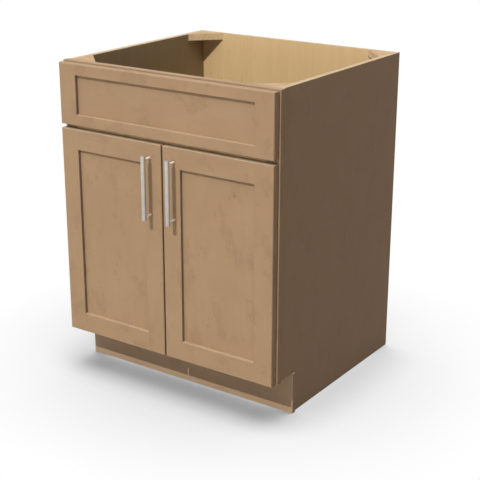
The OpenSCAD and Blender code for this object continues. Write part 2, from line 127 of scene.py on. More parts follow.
def srgb(red: float, green: float, blue: float) -> Colour:
    """Turns a colour as it shows on a screen into a shader's linear colour.

    Args:
        red: Red from 0 to 255.
        green: Green from 0 to 255.
        blue: Blue from 0 to 255.

    Returns:
        The linear colour with an alpha of 1.
    """
    parts = [v / 255 for v in (red, green, blue)]
    linear = [v / 12.92 if v <= 0.04045 else ((v + 0.055) / 1.055) ** 2.4 for v in parts]
    return (linear[0], linear[1], linear[2], 1.0)


class Link:
    """One output of a shader node, with the arithmetic that the finishes are written in."""

    def __init__(self, graph: "Graph", socket: bpy.types.NodeSocket) -> None:
        """Keeps the graph and the socket."""
        self.graph = graph
        self.socket = socket

    def _math(self, operation: str, first: Any, second: Any) -> "Link":
        """Adds a Math node that works on two numbers or links."""
        return self.graph.add("Math", {"operation": operation}, {0: first, 1: second})

    def __add__(self, other: Any) -> "Link":
        """Sum."""
        return self._math("ADD", self, other)

    def __radd__(self, other: Any) -> "Link":
        """Sum with a plain number on the left."""
        return self._math("ADD", other, self)

    def __sub__(self, other: Any) -> "Link":
        """Difference."""
        return self._math("SUBTRACT", self, other)

    def __rsub__(self, other: Any) -> "Link":
        """Difference from a plain number."""
        return self._math("SUBTRACT", other, self)

    def __mul__(self, other: Any) -> "Link":
        """Product."""
        return self._math("MULTIPLY", self, other)

    def __rmul__(self, other: Any) -> "Link":
        """Product with a plain number on the left."""
        return self._math("MULTIPLY", other, self)

    def __pow__(self, other: Any) -> "Link":
        """Power."""
        return self._math("POWER", self, other)

    def __rpow__(self, other: Any) -> "Link":
        """Power of a plain number."""
        return self._math("POWER", other, self)

    def __abs__(self) -> "Link":
        """The value without its sign."""
        return self._math("ABSOLUTE", self, 0.0)

    def clamped(self) -> "Link":
        """Keeps the value from 0 to 1."""
        return self.graph.add("Clamp", None, {"Value": self})

    def sibling(self, name: str) -> "Link":
        """Another output of the same node, by name."""
        return Link(self.graph, self.socket.node.outputs[name])

    def between(self, low: float, high: float) -> "Link":
        """Rises softly from 0 to 1 as the value goes from low to high."""
        settings = {"interpolation_type": "SMOOTHSTEP", "clamp": True}
        return self.graph.add("MapRange", settings, {0: self, 1: low, 2: high})

    def fading(self, reach: float) -> "Link":
        """Falls from 1 at 0, and has FADED left at the reach."""
        return FADED ** (self.clamped() * (1.0 / reach))

    def hump(self, middle: float, width: float) -> "Link":
        """Bell curve: 1 at the middle, and FADED left at the width from it."""
        away = (self - middle) * (1.0 / width)
        return FADED ** (away * away)


@dataclass(frozen=True)
class Pattern:
    """Noise that is drawn out along the grain.

    The stretch is its scale along the grain, so under 1 it is drawn out. The scale counts features
    for each metre. The mask rises from 0 to 1 between the two values of the cut.
    """

    stretch: float
    scale: float
    detail: float = 2.0
    roughness: float = 0.5
    cut: Span | None = None


class Graph:
    """Node tree of one material or of the world."""

    def __init__(self, owner: bpy.types.Material | bpy.types.World) -> None:
        """Clears the tree.

        Args:
            owner: Material or world that the tree belongs to.
        """
        owner.use_nodes = True
        self.tree = owner.node_tree
        self.tree.nodes.clear()

    def add(
        self,
        kind: str,
        settings: dict[str, Any] | None = None,
        inputs: dict[Any, Any] | None = None,
        out: int | str = 0,
    ) -> Link:
        """Adds one node.

        Args:
            kind: Type of the node, without its "ShaderNode".
            settings: Properties to set first.
            inputs: Values or links of the sockets, by name or number.
            out: Name or number of the output to return.

        Returns:
            The output asked for.
        """
        node = self.tree.nodes.new(f"ShaderNode{kind}")
        for key, value in (settings or {}).items():
            setattr(node, key, value)
        for key, value in (inputs or {}).items():
            if isinstance(value, Link):
                self.tree.links.new(value.socket, node.inputs[key])
            else:
                node.inputs[key].default_value = value
        return Link(self, node.outputs[out] if len(node.outputs) else node.inputs[0])

    def point(self) -> Link:
        """Point on the piece, in metres."""
        return self.add("TexCoord", out="Object")

    def board_point(self) -> Link:
        """Point on the piece, moved so that no two boards have the same figure."""
        shift = self.add("Attribute", {"attribute_name": SHIFT}, out="Vector")
        return self.add("VectorMath", {"operation": "ADD"}, {0: self.point(), 1: shift})

    def draw(self, point: Link, axis: Grain, pattern: Pattern) -> Link:
        """Draws a pattern.

        Args:
            point: Point that it reads.
            axis: Direction of the grain.
            pattern: Its sizes.

        Returns:
            The mask, or the plain noise, about 0.5 on average, where the pattern has no cut.
        """
        scale = [1.0, 1.0, 1.0]
        scale[axis.value] = pattern.stretch
        drawn_out = {"Vector": point, "Scale": scale}
        place = self.add("Mapping", {"vector_type": "POINT"}, drawn_out)
        inputs = {"Vector": place, "Scale": pattern.scale}
        inputs |= {"Detail": pattern.detail, "Roughness": pattern.roughness}
        noise = self.add("TexNoise", {"noise_dimensions": "3D"}, inputs, "Fac")
        return noise.between(*pattern.cut) if pattern.cut else noise

    def mix(self, factor: Any, first: Any, second: Any) -> Link:
        """Mixes two colours or links; the factor is the share of the second."""
        settings = {"data_type": "RGBA", "blend_type": "MIX", "clamp_factor": True}
        return self.add("Mix", settings, {0: factor, 6: first, 7: second}, 2)

    def bump(self, height: Link, depth: float, strength: float) -> Link:
        """Normal of a relief that is so many metres deep, used at a share of its strength."""
        inputs = {"Height": height, "Distance": depth, "Strength": strength}
        return self.add("Bump", None, inputs)

    def surface(
        self, colour: Link, roughness: Link, normal: Link, gloss: float = 0.5, **more: Any
    ) -> None:
        """Ends a material in a Principled shader.

        Args:
            colour: Base colour.
            roughness: Roughness.
            normal: Normal of the relief.
            gloss: Level of the clear reflection.
            more: Other inputs, with an underscore for each space of the name.
        """
        inputs = {"Base Color": colour, "Roughness": roughness, "Normal": normal}
        inputs["Specular IOR Level"] = gloss
        inputs |= {key.replace("_", " "): value for key, value in more.items()}
        shader = self.add("BsdfPrincipled", None, inputs)
        self.add("OutputMaterial", None, {"Surface": shader})


@dataclass(frozen=True)
class Finish:
    """A finish that makes its material once and gives it to every piece that asks."""

    name: str

    def material(self, axis: Grain = Grain.UPRIGHT) -> bpy.types.Material:
        """Finds or makes the material.

        Args:
            axis: Direction of the grain or of the brushing.

        Returns:
            The material.
        """
        label = f"{self.name}_{axis.name.lower()}"
        found = bpy.data.materials.get(label)
        if found is None:
            found = bpy.data.materials.new(label)
            self.dress(Graph(found), axis)
        return found

    def dress(self, graph: Graph, axis: Grain) -> None:
        """Fills in the material's nodes; each finish has its own."""
        raise NotImplementedError


@dataclass(frozen=True)
class StainedWood(Finish):
    """Close-grained hardwood with a light brown stain: soft clouds, mottled figure, flecks."""

    CLOUDS: ClassVar[Pattern] = Pattern(0.75, 11.0, 5.0, 0.6, (0.32, 0.68))
    FIGURE: ClassVar[Pattern] = Pattern(0.75, 16.0, 3.0, 0.6, (0.57, 0.63))
    MOTTLE: ClassVar[Pattern] = Pattern(0.75, 120.0, 4.0, 0.7, (0.34, 0.66))
    STREAKS: ClassVar[Pattern] = Pattern(0.12, 85.0, 4.0, 0.6, (0.35, 0.7))
    SPOTS: ClassVar[Pattern] = Pattern(0.75, 42.0, 1.0, cut=(0.56, 0.66))
    FLECKS: ClassVar[Pattern] = Pattern(0.35, 210.0, cut=(0.64, 0.7))
    PORES: ClassVar[Pattern] = Pattern(0.12, 900.0)

    name: str = "stained_wood"
    light: Colour = srgb(169, 138, 105)
    dark: Colour = srgb(157, 126, 95)
    rosy: Colour = srgb(147, 116, 90)
    fleck: Colour = srgb(118, 88, 62)
    gloss: float = 0.25
    figure: float = 1.0

    def dress(self, graph: Graph, axis: Grain) -> None:
        """Fills in the stain, the figure and the fine relief.

        Args:
            graph: The node tree.
            axis: Direction of the grain.
        """
        draw = partial(graph.draw, graph.board_point(), axis)
        clouds, figure = map(draw, (self.CLOUDS, self.FIGURE))
        mottle, streaks = map(draw, (self.MOTTLE, self.STREAKS))
        spots, flecks, pores = map(draw, (self.SPOTS, self.FLECKS, self.PORES))
        colour = graph.mix((clouds * 0.4 + streaks * 0.12) * self.figure, self.light, self.dark)
        colour = graph.mix(figure * (0.3 + 0.7 * mottle) * (0.5 * self.figure), colour, self.rosy)
        colour = graph.mix(spots * flecks * 0.45, colour, self.fleck)
        relief = graph.bump(pores * 0.5 + mottle * 0.5, depth=0.00006, strength=0.6)
        graph.surface(colour, 0.5 + 0.12 * streaks, relief, self.gloss)


@dataclass(frozen=True)
class NaturalBirch(Finish):
    """Clear-coated birch veneer: pale, with darker streaks along the grain."""

    BANDS: ClassVar[Pattern] = Pattern(0.05, 26.0, 3.0, 0.55, (0.3, 0.7))
    FIBRES: ClassVar[Pattern] = Pattern(0.05, 150.0, 3.0, 0.6, (0.3, 0.75))
    LINES: ClassVar[Pattern] = Pattern(0.22, 60.0, 3.0, 0.6, (0.6, 0.7))
    PATCHES: ClassVar[Pattern] = Pattern(0.22, 8.0, cut=(0.45, 0.65))

    name: str = "natural_birch"
    pale: Colour = srgb(225, 194, 144)
    deep: Colour = srgb(214, 181, 131)
    streak: Colour = srgb(193, 158, 107)

    def dress(self, graph: Graph, axis: Grain) -> None:
        """Fills in the veneer's streaks and its fine relief.

        Args:
            graph: The node tree.
            axis: Direction of the grain.
        """
        draw = partial(graph.draw, graph.board_point(), axis)
        bands, fibres = map(draw, (self.BANDS, self.FIBRES))
        lines, patches = map(draw, (self.LINES, self.PATCHES))
        colour = graph.mix(bands * 0.3 + fibres * 0.35 + 0.17, self.pale, self.deep)
        colour = graph.mix(lines * patches * 0.5, colour, self.streak)
        relief = graph.bump(fibres, depth=0.00005, strength=0.5)
        graph.surface(colour, 0.42 + 0.14 * fibres, relief, gloss=0.25)


@dataclass(frozen=True)
class SawnWood(Finish):
    """Unfinished sawn softwood: year lines along the board and a rough, dull face."""

    YEARS: ClassVar[Pattern] = Pattern(0.08, 110.0, 2.0, 0.4, (0.4, 0.66))
    FIBRES: ClassVar[Pattern] = Pattern(0.08, 520.0)
    STAIN: ClassVar[Pattern] = Pattern(1.0, 22.0, 3.0, cut=(0.5, 0.75))

    name: str = "sawn_wood"
    pale: Colour = srgb(199, 169, 131)
    year: Colour = srgb(178, 144, 103)

    def dress(self, graph: Graph, axis: Grain) -> None:
        """Fills in the year lines and the saw marks.

        Args:
            graph: The node tree.
            axis: Direction of the grain.
        """
        draw = partial(graph.draw, graph.board_point(), axis)
        years, fibres, stain = map(draw, (self.YEARS, self.FIBRES, self.STAIN))
        colour = graph.mix(years * 0.7 + fibres * 0.2, self.pale, self.year)
        colour = graph.mix(stain * 0.2, colour, self.year)
        relief = graph.bump(fibres * 0.6 + years * 0.4, depth=0.00012, strength=0.7)
        graph.surface(colour, 0.72 + 0.14 * fibres, relief, gloss=0.2)


@dataclass(frozen=True)
class PlyEdge(Finish):
    """Bare edge of a veneered board, in thin layers. The axis is the board's thickness."""

    LAYERS: ClassVar[Pattern] = Pattern(60.0, 9.0, 1.0, cut=(0.5, 0.66))
    GRIT: ClassVar[Pattern] = Pattern(1.0, 700.0)
    BLUSH: ClassVar[Pattern] = Pattern(1.0, 30.0, cut=(0.4, 0.7))

    name: str = "ply_edge"
    pale: Colour = srgb(206, 181, 148)
    glue: Colour = srgb(181, 150, 114)

    def dress(self, graph: Graph, axis: Grain) -> None:
        """Fills in the layers.

        Args:
            graph: The node tree.
            axis: Direction of the board's thickness.
        """
        draw = partial(graph.draw, graph.board_point(), axis)
        layers, grit, blush = map(draw, (self.LAYERS, self.GRIT, self.BLUSH))
        colour = graph.mix(layers * 0.45 + grit * 0.2, self.pale, self.glue)
        colour = graph.mix(blush * 0.2, colour, self.glue)
        relief = graph.bump(layers * 0.5 + grit * 0.5, depth=0.0001, strength=0.6)
        graph.surface(colour, 0.75 + 0.1 * grit, relief, gloss=0.2)


@dataclass(frozen=True)
class BrushedMetal(Finish):
    """Metal with a brushed or plated face: fine lines along the axis and faint handling marks."""

    MARKS: ClassVar[Pattern] = Pattern(1.0, 60.0, 3.0, cut=(0.35, 0.7))
    BRUSH_SCALE: ClassVar[float] = 2200.0

    name: str = "satin_nickel"
    bright: Colour = srgb(200, 197, 191)
    dull: Colour = srgb(180, 177, 171)
    metallic: float = 0.65
    roughness: float = 0.4
    lines: float = 0.08

    def dress(self, graph: Graph, axis: Grain) -> None:
        """Fills in the brushing.

        Args:
            graph: The node tree.
            axis: Direction of the brushing.
        """
        draw = partial(graph.draw, graph.point(), axis)
        brush, marks = map(draw, (Pattern(self.lines, self.BRUSH_SCALE), self.MARKS))
        colour = graph.mix(brush * 0.5 + marks * 0.4, self.bright, self.dull)
        rough = self.roughness + 0.1 * brush + 0.05 * marks
        relief = graph.bump(brush, depth=0.00002, strength=0.5)
        graph.surface(colour, rough, relief, Metallic=self.metallic)


@dataclass(frozen=True)
class SoftPad(Finish):
    """Clear soft bumper pad with a slight haze."""

    CLOUD: ClassVar[Pattern] = Pattern(1.0, 240.0, 3.0, cut=(0.3, 0.7))

    name: str = "soft_pad"
    clear: Colour = srgb(226, 226, 220)
    haze: Colour = srgb(206, 205, 196)
    depth: float = 0.002

    def dress(self, graph: Graph, axis: Grain) -> None:
        """Fills in the haze.

        Args:
            graph: The node tree.
            axis: Any: a pad has no grain.
        """
        cloud = graph.draw(graph.point(), axis, self.CLOUD)
        graph.surface(
            graph.mix(cloud, self.clear, self.haze),
            0.3 + 0.15 * cloud,
            graph.bump(cloud, depth=0.00005, strength=0.4),
            Subsurface_Weight=0.2,
            Subsurface_Radius=(self.depth,) * 3,
        )


STAIN = StainedWood()
# Darker copies of the stain for faces turned to the sides, the side panels' outer veneer and the
# toe-kick board's ends: painted shade where the front light does not fall. The low gloss and the
# veneer's fainter figure are real.
SIDE_SHADE_COLOURS = (srgb(157, 128, 101), srgb(147, 119, 92), srgb(137, 108, 87))
DULL = 0.06
PAINTED_SIDE_SHADE = StainedWood("stained_side", *SIDE_SHADE_COLOURS, gloss=DULL)
VENEER_PAINTED_SHADE = StainedWood("stained_veneer", *SIDE_SHADE_COLOURS, gloss=DULL, figure=0.45)
# Greyer, darker stain on the walls of the panel's recess: painted shade.
PAINTED_RECESS_SHADE = StainedWood(
    "stained_corner", srgb(142, 125, 111), srgb(132, 116, 103), srgb(122, 106, 96), gloss=DULL
)
# Paler, greyer stain on edges and ledges that face up: painted highlight.
PAINTED_TOP_HIGHLIGHT = StainedWood(
    "stained_rubbed_edge", srgb(181, 158, 132), srgb(170, 146, 120), srgb(160, 132, 108)
)
# Slightly paler stain on the upper faces of the frame and the false front: a milder painted
# highlight.
PAINTED_FRAME_TOP_HIGHLIGHT = StainedWood("stained_frame_top", srgb(172, 143, 112), srgb(161, 132, 102), srgb(151, 121, 96))
# Lighter stain on the toe-kick board, which stands in the shade of the fronts: painted fill light.
TOE_PAINTED_FILL = StainedWood(
    "stained_toe_board", srgb(176, 147, 116), srgb(165, 136, 107), srgb(154, 124, 100)
)
BIRCH = NaturalBirch()
# Darker birch inside the box: painted shade on the side panels' inner faces and on the floor panel.
BIRCH_PAINTED_SHADE = NaturalBirch("birch_lining", srgb(168, 149, 120), srgb(159, 140, 110), srgb(143, 122, 92))
SAWN = SawnWood()
# Paler sawn wood on the braces' edges and the toe-kick board's upper edge: painted light.
SAWN_PAINTED_LIGHT = SawnWood("sawn_brace_edge", srgb(230, 199, 156), srgb(213, 180, 136))
EDGE = PlyEdge()
NICKEL = BrushedMetal()
# Near-white matt posts: painted highlight standing in for the nickel's glints.
POST_PAINTED_HIGHLIGHT = BrushedMetal("bright_nickel", srgb(255, 252, 246), srgb(247, 243, 236), 0.0, 0.2, lines=0.3)
STEEL = BrushedMetal("plated_steel", srgb(186, 187, 188), srgb(160, 161, 163), 0.9, 0.28, lines=0.3)
PAD = SoftPad()


Shape = bmesh.types.BMesh
Face = bmesh.types.BMFace
Edge = bmesh.types.BMEdge
Vert = bmesh.types.BMVert
FaceChoice = Callable[[Face], int]
Reshaping = Callable[[Shape], None]


def member_faces(inward: int = 0) -> FaceChoice:
    """Tells the faces of a stile or rail apart.

    Args:
        inward: Direction along X of the panel that a stile holds, or 0 where it holds none.

    Returns:
        The choice: 0 for a face, 1 for a side edge, 2 for the wall of the recess, 3 for an edge
        that faces up.
    """

    def choose(face: Face) -> int:
        """Sorts one face by its normal."""
        across, _, up = face.normal
        return 3 if up > LEANING else 2 if across * inward > SQUARE else int(abs(across) > FACING)

    return choose


def broad_faces(thickness: Grain) -> FaceChoice:
    """Tells a board's broad faces, 0, from its edges, 1, by the axis of its thickness."""
    return lambda face: 0 if abs(face.normal[thickness.value]) > FACING else 1


def stained(axis: Grain, upper: Finish = PAINTED_TOP_HIGHLIGHT) -> list[bpy.types.Material]:
    """Finishes of a stained member, in member_faces' order: the stain, a darker copy as painted
    shade on the side edges, painted shade on the recess walls, and last a paler painted highlight on
    the edges facing up.
    """
    return [finish.material(axis) for finish in (STAIN, PAINTED_SIDE_SHADE, PAINTED_RECESS_SHADE, upper)]


def mesh_of(name: str, shape: Shape) -> bpy.types.Mesh:
    """Makes the mesh that a scene can hold.

    Args:
        name: Name of the mesh.
        shape: The shape. It is freed.

    Returns:
        The mesh.
    """
    mesh = bpy.data.meshes.new(name)
    shape.to_mesh(mesh)
    shape.free()
    return mesh


def put(name: str, data: bpy.types.ID) -> bpy.types.Object:
    """Puts an object into the scene.

    Args:
        name: Name of the object.
        data: Its mesh, light or camera.

    Returns:
        The object.
    """
    made = bpy.data.objects.new(name, data)
    bpy.context.scene.collection.objects.link(made)
    return made


@dataclass
class Piece:
    """One finished piece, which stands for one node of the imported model."""

    node: str
    materials: list[bpy.types.Material]
    choose: FaceChoice = lambda face: 0

    def finish(self, shape: Shape) -> None:
        """Turns the mesh into the object that stands for the node.

        Args:
            shape: The finished mesh, in place. It is freed.
        """
        shape.normal_update()
        for face in shape.faces:
            face.material_index = self.choose(face)
        mesh = mesh_of(f"{self.node}_mesh", shape)
        for material in self.materials:
            mesh.materials.append(material)
        self._shift_figure(mesh)
        made = put(f"{self.node}_piece", mesh)
        cad = frame["nodes"][self.node]
        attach(made, cad["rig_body"])
        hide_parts(self.node)

    def _shift_figure(self, mesh: bpy.types.Mesh) -> None:
        """Gives the piece its own place in the wood's figure.

        Args:
            mesh: Mesh that gets the attribute.
        """
        seed = zlib.crc32(self.node.encode())
        shift = [((seed >> (8 * i)) & 255) / SHIFT_STEPS for i in range(3)]
        layer = mesh.attributes.new(SHIFT, "FLOAT_VECTOR", "POINT")
        layer.data.foreach_set("vector", shift * len(mesh.vertices))


def solid_of(node: str) -> Shape:
    """Copies the mesh of a node's solids and welds its doubled points.

    Args:
        node: Name of the node.

    Returns:
        The mesh.
    """
    shape = bmesh.new()
    shape.from_mesh(frame["nodes"][node].data)
    bmesh.ops.remove_doubles(shape, verts=shape.verts, dist=WELD)
    return shape


def carved(node: str, width: float, segments: int = 2, reshape: Reshaping | None = None) -> Shape:
    """Copies a node's solid with its joinery and eases its sharp edges.

    Args:
        node: Name of the node.
        width: Width of the eased edges, in metres.
        segments: Faces across an eased edge.
        reshape: Refines the shape before its edges are eased.

    Returns:
        The mesh.
    """
    shape = solid_of(node)
    bmesh.ops.dissolve_limit(shape, angle_limit=FLAT, verts=shape.verts, edges=shape.edges)
    if reshape is not None:
        reshape(shape)
    shape.normal_update()
    for face in shape.faces:
        face.smooth = any(FLAT < e.calc_face_angle(0.0) < CURVED for e in face.edges)
    ease(shape, width, segments)
    return shape


def block(node: str, width: float) -> Shape:
    """Makes a plain box with eased edges.

    Args:
        node: Name of the node whose box it fills.
        width: Width of the eased edges, in metres.

    Returns:
        The mesh.
    """
    low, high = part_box(node)
    shape = bmesh.new()
    bmesh.ops.create_cube(shape, size=1.0)
    bmesh.ops.scale(shape, vec=high - low, verts=shape.verts)
    bmesh.ops.translate(shape, vec=(low + high) / 2, verts=shape.verts)
    ease(shape, width)
    return shape


def ease(shape: Shape, width: float, segments: int = 2, edges: list[Edge] | None = None) -> None:
    """Rounds the outward edges of a mesh.

    Args:
        shape: The mesh.
        width: Width of the eased edges, in metres.
        segments: Faces across an eased edge.
        edges: The edges, or None for every outward edge that is steep enough.
    """
    if edges is None:
        edges = [e for e in shape.edges if e.is_convex and e.calc_face_angle(0.0) > STEEP]
    made = bmesh.ops.bevel(
        shape,
        geom=edges,
        offset=width,
        offset_type="OFFSET",
        segments=segments,
        profile=0.5,
        affect="EDGES",
        clamp_overlap=True,
        loop_slide=True,
        material=-1,
    )
    for face in made["faces"]:
        face.smooth = face.calc_area() < width * max(e.calc_length() for e in face.edges)


def join(whole: Shape, part: Shape) -> None:
    """Adds one mesh to another.

    Args:
        whole: Mesh that grows.
        part: Mesh that is added. It is freed.
    """
    carrier = mesh_of("carrier", part)
    whole.from_mesh(carrier)
    bpy.data.meshes.remove(carrier)


def vertices(geometry: Iterable[Face | Edge | Vert]) -> list[Vert]:
    """Picks the vertices from what an operator made."""
    return [g for g in geometry if isinstance(g, Vert)]


def islands(node: str) -> list[tuple[Vector, Vector, list[Vector]]]:
    """Splits a node that groups several solids.

    Args:
        node: Name of the node.

    Returns:
        For each solid its lowest corner, its highest corner and its points. The lowest corners, to
        0.01 mm, give the order.
    """
    shape = solid_of(node)
    left = set(shape.verts)
    found = []
    while left:
        group, edge = set(), [left.pop()]
        while edge:
            vert = edge.pop()
            group.add(vert)
            near = {e.other_vert(vert) for e in vert.link_edges} & left
            left -= near
            edge.extend(near)
        points = [v.co.copy() for v in group]
        low = Vector(min(p[i] for p in points) for i in range(3))
        high = Vector(max(p[i] for p in points) for i in range(3))
        found.append((low, high, points))
    shape.free()
    return sorted(found, key=lambda part: tuple(round(v, 5) for v in part[0]))


@dataclass
class WoodScrew:
    """Pan-head wood screw with a cross recess, along +Z with the underside of its head at Z = 0.

    Half the cross's length and the flat top's radius are shares of the head's width. The shoulder
    is shares of its radius and rise, the wall and the sink of the rise, the tip of the shank. The
    cross's arms keep the slimming of a third of its length, and its bottom the taper of its mouth.
    """

    length: float
    shank: float
    head: float
    rise: float
    segments: int = 24
    cross: float = 0.27
    slimming: float = 0.55
    taper: float = 0.6
    sink: float = 0.6
    flat_top: float = 0.33
    shoulder: Span = (0.94, 0.7)
    wall: float = 0.3
    tip: float = 0.02
    point_length: float = 0.003
    end_facing: float = 0.95

    def build(self) -> Shape:
        """Makes the head with its recess and the pointed shank.

        Returns:
            The mesh, closed.
        """
        shape = bmesh.new()
        loop = self._top(shape)
        radius = self.head * self.flat_top
        for wide, high in self._profile():
            loop = self._grow(shape, loop, wide / radius, high)
            radius = wide
        bmesh.ops.contextual_create(shape, geom=loop)
        bmesh.ops.remove_doubles(shape, verts=shape.verts, dist=WELD)
        bmesh.ops.recalc_face_normals(shape, faces=shape.faces)
        for face in shape.faces:
            face.smooth = len(face.verts) == 4 and abs(face.normal.z) < self.end_facing
        return shape

    def _top(self, shape: Shape) -> list[Edge]:
        """Makes the head's flat top with the cross sunk into it.

        Args:
            shape: The mesh.

        Returns:
            Edges of its round rim.
        """
        reach = self.head * self.cross
        third = 2 * reach / 3
        bmesh.ops.create_grid(shape, x_segments=3, y_segments=3, size=reach)
        waste = [f for f in shape.faces if min(map(abs, f.calc_center_median().xy)) > third / 2]
        bmesh.ops.delete(shape, geom=waste, context="FACES")
        for vert in shape.verts:
            vert.co.z = -self.rise
            for axis in (0, 1):
                if abs(vert.co[axis]) < third:
                    vert.co[axis] *= self.slimming
        mouth = [e for e in shape.edges if e.is_boundary]
        place = Matrix.Translation((0, 0, -self.rise))
        radius = self.head * self.flat_top
        ring = bmesh.ops.create_circle(shape, segments=self.segments, radius=radius, matrix=place)
        rim = [e for e in shape.edges if all(v in ring["verts"] for v in e.verts)]
        cross = list(shape.faces)
        bmesh.ops.bridge_loops(shape, edges=mouth + rim)
        bottom = vertices(bmesh.ops.extrude_face_region(shape, geom=cross)["geom"])
        bmesh.ops.translate(shape, vec=(0, 0, self.rise * self.sink), verts=bottom)
        bmesh.ops.scale(shape, vec=(self.taper, self.taper, 1.0), verts=bottom)
        bmesh.ops.delete(shape, geom=[f for f in cross if f.is_valid], context="FACES")
        return rim

    def _profile(self) -> list[Span]:
        """Lists the rings below the flat top.

        Returns:
            Radius and height of each.
        """
        round_off, drop = self.shoulder
        return [
            (self.head / 2 * round_off, -self.rise * drop),
            (self.head / 2, -self.rise * self.wall),
            (self.head / 2, 0.0),
            (self.shank / 2, 0.0),
            (self.shank / 2, self.length - self.point_length),
            (self.shank * self.tip, self.length),
        ]

    @staticmethod
    def _grow(shape: Shape, loop: list[Edge], scale: float, high: float) -> list[Edge]:
        """Carries a ring of edges on to the next point of the profile.

        Args:
            shape: The mesh.
            loop: Edges of the ring.
            scale: Change of its radius.
            high: Height of the new ring.

        Returns:
            Edges of the new ring.
        """
        made = bmesh.ops.extrude_edge_only(shape, edges=loop)["geom"]
        verts = vertices(made)
        bmesh.ops.scale(shape, vec=(scale, scale, 1.0), verts=verts)
        for vert in verts:
            vert.co.z = high
        return [g for g in made if isinstance(g, Edge) and all(v in verts for v in g.verts)]


@dataclass
class ScrewSet:
    """All the screws of one node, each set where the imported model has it.

    Points further out than the brim_share of a head's width are on its brim.
    """

    node: str
    brim_share: float = 0.48

    def build(self) -> None:
        """Makes one mesh of all the screws."""
        whole = bmesh.new()
        for low, high, points in islands(self.node):
            join(whole, self._screw(low, high, points))
        Piece(self.node, [STEEL.material()]).finish(whole)

    def _screw(self, low: Vector, high: Vector, points: list[Vector]) -> Shape:
        """Makes one screw, in place.

        Args:
            low: Lowest corner of the solid.
            high: Highest corner of the solid.
            points: Points of the solid.

        Returns:
            The mesh.
        """
        size = high - low
        axis = max(range(3), key=lambda i: size[i])
        middle = (low + high) / 2
        head = (size[(axis + 1) % 3] + size[(axis + 2) % 3]) / 2

        def out(point: Vector) -> float:
            """Distance of a point from the screw's axis."""
            return math.hypot(*(point[i] - middle[i] for i in range(3) if i != axis))

        brim = [p[axis] for p in points if out(p) > head * self.brim_share]
        at_low = sum(brim) / len(brim) < middle[axis]
        seat = max(brim) if at_low else min(brim)
        start, tip = (low[axis], high[axis]) if at_low else (high[axis], low[axis])
        below = [p for p in points if abs(p[axis] - seat) > TOUCH and (p[axis] > seat) == at_low]
        shank = 2 * max(out(p) for p in below)
        screw = WoodScrew(abs(tip - seat), shank, head, abs(start - seat)).build()
        aim = Vector((0, 0, 0))
        aim[axis] = 1.0 if at_low else -1.0
        place = middle.copy()
        place[axis] = seat
        turn = Vector((0, 0, 1)).rotation_difference(aim).to_matrix().to_4x4()
        seed = zlib.crc32(str(tuple(round(c, 4) for c in place)).encode())
        spin = Matrix.Rotation(math.radians(seed % 90), 4, "Z")
        matrix = Matrix.Translation(place) @ turn @ spin
        bmesh.ops.transform(screw, matrix=matrix, verts=screw.verts)
        return screw


class Assembly(Protocol):
    """Sub-assembly of the cabinet."""

    def build(self) -> None:
        """Makes its pieces."""


@dataclass
class Carcass:
    """Side panels, back, floor, toe-kick board and the strips under the floor."""

    edge: float = 0.0004
    strip_edge: float = 0.0008

    def build(self) -> None:
        """Makes every panel of the box."""
        for side in Side:
            self._side_panel(side)
        materials = [BIRCH.material(Grain.UPRIGHT), EDGE.material(Grain.DEEP)]
        shape = carved("back_panel", self.edge)
        Piece("back_panel", materials, broad_faces(Grain.DEEP)).finish(shape)
        # The floor panel takes the darker birch: painted shade.
        materials = [BIRCH_PAINTED_SHADE.material(Grain.ACROSS), EDGE.material(Grain.UPRIGHT)]
        shape = block("floor_panel", self.edge)
        Piece("floor_panel", materials, broad_faces(Grain.UPRIGHT)).finish(shape)
        self._toe_kick()

    def _side_panel(self, side: Side) -> None:
        """Makes one side panel: stained outside and natural birch inside, both in darker copies as
        painted shade, and bare edges.

        Args:
            side: Which of the two.
        """

        def choose(face: Face) -> int:
            """Outer face, inner face or edge."""
            lean = face.normal.x * side.value
            return 0 if lean > FACING else 1 if lean < -FACING else 2

        outside, inside = VENEER_PAINTED_SHADE.material(Grain.UPRIGHT), BIRCH_PAINTED_SHADE.material(Grain.UPRIGHT)
        materials = [outside, inside, EDGE.material(Grain.ACROSS)]
        node = f"{side.word}_side_panel"
        Piece(node, materials, choose).finish(carved(node, self.edge))

    def _toe_kick(self) -> None:
        """Makes the toe-kick board, its cleat and the batten under the floor."""

        def choose(face: Face) -> int:
            """Broad face, end or upper edge."""
            return 1 if abs(face.normal.x) > FACING else 2 if face.normal.z > FACING else 0

        # For the toe-kick board: its face takes a lighter stain as painted fill light in the fronts'
        # shade, its ends the darker painted side shade, and its upper edge pale sawn wood as painted
        # sunlight.
        boards: dict[str, tuple[float, tuple[Finish, ...]]] = {
            "toe_kick_board": (self.edge, (TOE_PAINTED_FILL, PAINTED_SIDE_SHADE, SAWN_PAINTED_LIGHT)),
            "toe_kick_cleat": (self.strip_edge, (SAWN,) * 3),
            "floor_batten": (self.strip_edge, (SAWN,) * 3),
        }
        for node, (edge, coats) in boards.items():
            materials = [finish.material(Grain.ACROSS) for finish in coats]
            Piece(node, materials, choose).finish(block(node, edge))


@dataclass
class FaceFrame:
    """Stiles and rails of the frame that the fronts close on."""

    edge: float = 0.0003

    def build(self) -> None:
        """Makes both stiles and the three rails."""
        shown = {
            "left_frame_stile": Grain.UPRIGHT,
            "right_frame_stile": Grain.UPRIGHT,
            "top_frame_rail": Grain.ACROSS,
            "bottom_frame_rail": Grain.ACROSS,
        }
        # The frame's faces that look up take a slightly paler stain: painted highlight.
        for node, axis in shown.items():
            Piece(node, stained(axis, PAINTED_FRAME_TOP_HIGHLIGHT), member_faces()).finish(carved(node, self.edge))
        # The middle rail shows only in the shaded gap under the false front; its pale natural birch
        # paints fill light into that gap.
        hidden = "middle_frame_rail"
        Piece(hidden, [BIRCH.material(Grain.ACROSS)]).finish(carved(hidden, self.edge))


